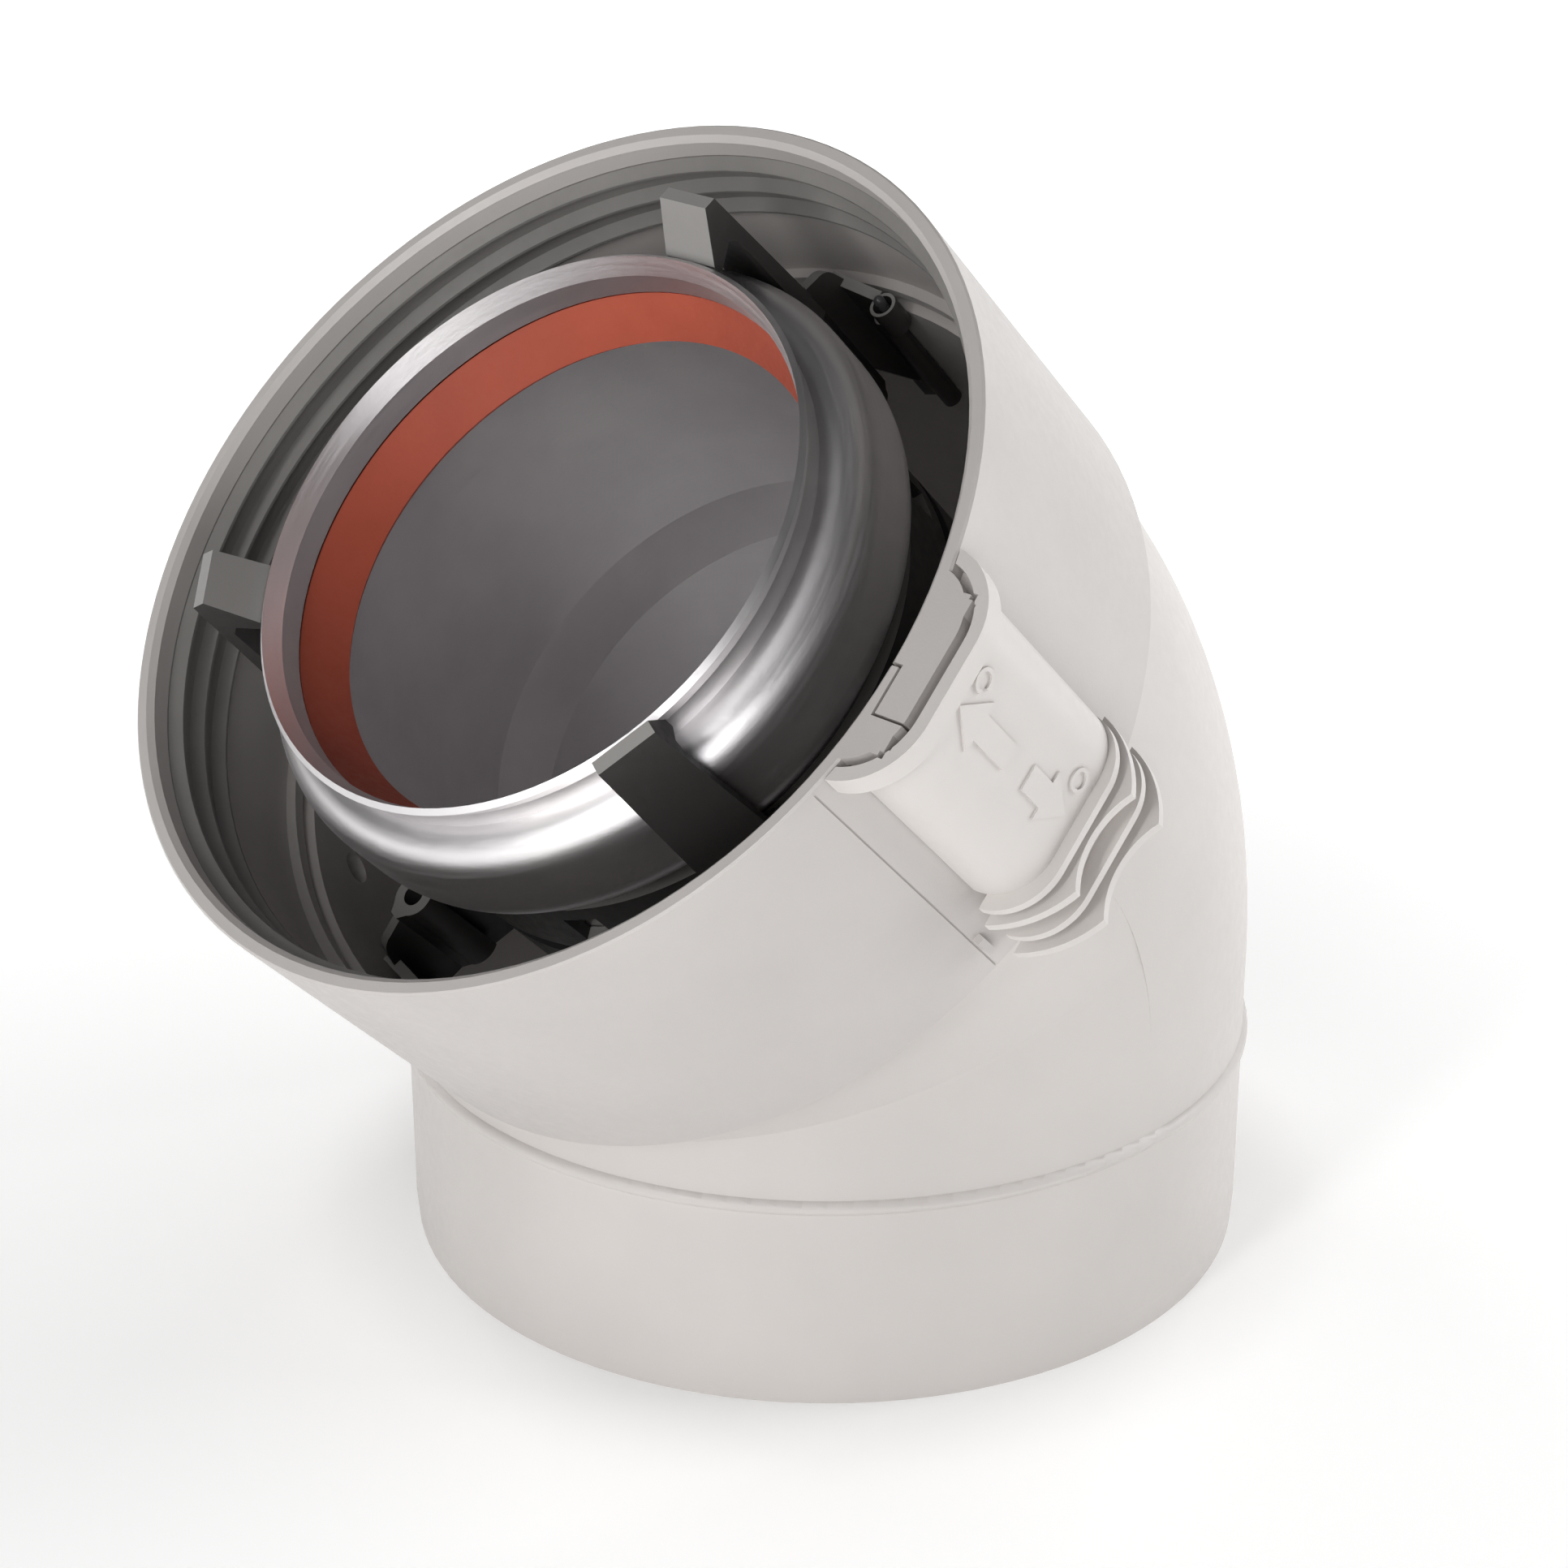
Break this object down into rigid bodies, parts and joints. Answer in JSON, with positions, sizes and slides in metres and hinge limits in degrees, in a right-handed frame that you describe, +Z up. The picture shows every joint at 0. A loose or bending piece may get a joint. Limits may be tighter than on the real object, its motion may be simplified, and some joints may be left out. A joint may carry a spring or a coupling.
{
  "type": "flue elbow",
  "caption": "45 degree twin-wall flue elbow: aluminium flue pipe held by spacers inside a plastic air pipe, with a sliding latch on the socket.",
  "frame": {"origin": "centre of the outer spigot's open end, on its end plane", "axes": "+Z up the spigot's axis into the elbow; the socket leaves towards +X and +Z at 45 degrees; the latch is on the +Y side"},
  "size_m": [0.1646, 0.1413, 0.164],
  "materials": {
    "outer_plastic": "warm light grey polypropylene, fine satin",
    "sleeve_plastic": "warm light grey polypropylene, satin",
    "slider_plastic": "off-white plastic, satin",
    "air_seal": "dark grey rubber",
    "flue_aluminium": "drawn and brushed around",
    "flue_seal": "terracotta silicone",
    "spacer_plastic": "black moulded plastic",
    "pin_plastic": "dark grey moulded plastic"
  },
  "bodies": {
    "elbow": {"outer_elbow": "outer_plastic", "socket_sleeve": "sleeve_plastic", "outer_seal": "air_seal", "inner_elbow": "flue_aluminium", "inner_socket": "flue_aluminium", "inner_seal": "flue_seal", "front_spacer": "spacer_plastic", "rear_hub": "spacer_plastic", "wing_1": "spacer_plastic", "wing_2": "spacer_plastic", "wing_3": "spacer_plastic", "wing_4": "spacer_plastic", "wing_pin_1": "pin_plastic", "wing_pin_2": "pin_plastic", "wing_pin_3": "pin_plastic", "wing_pin_4": "pin_plastic"},
    "slider": {"latch_slider": "slider_plastic"}
  },
  "joints": [
    {"name": "latch_slide", "type": "slide", "parent": "elbow", "child": "slider", "axis": [-0.7071, 0, -0.7071], "range_m": [0, 0.014]}
  ]
}
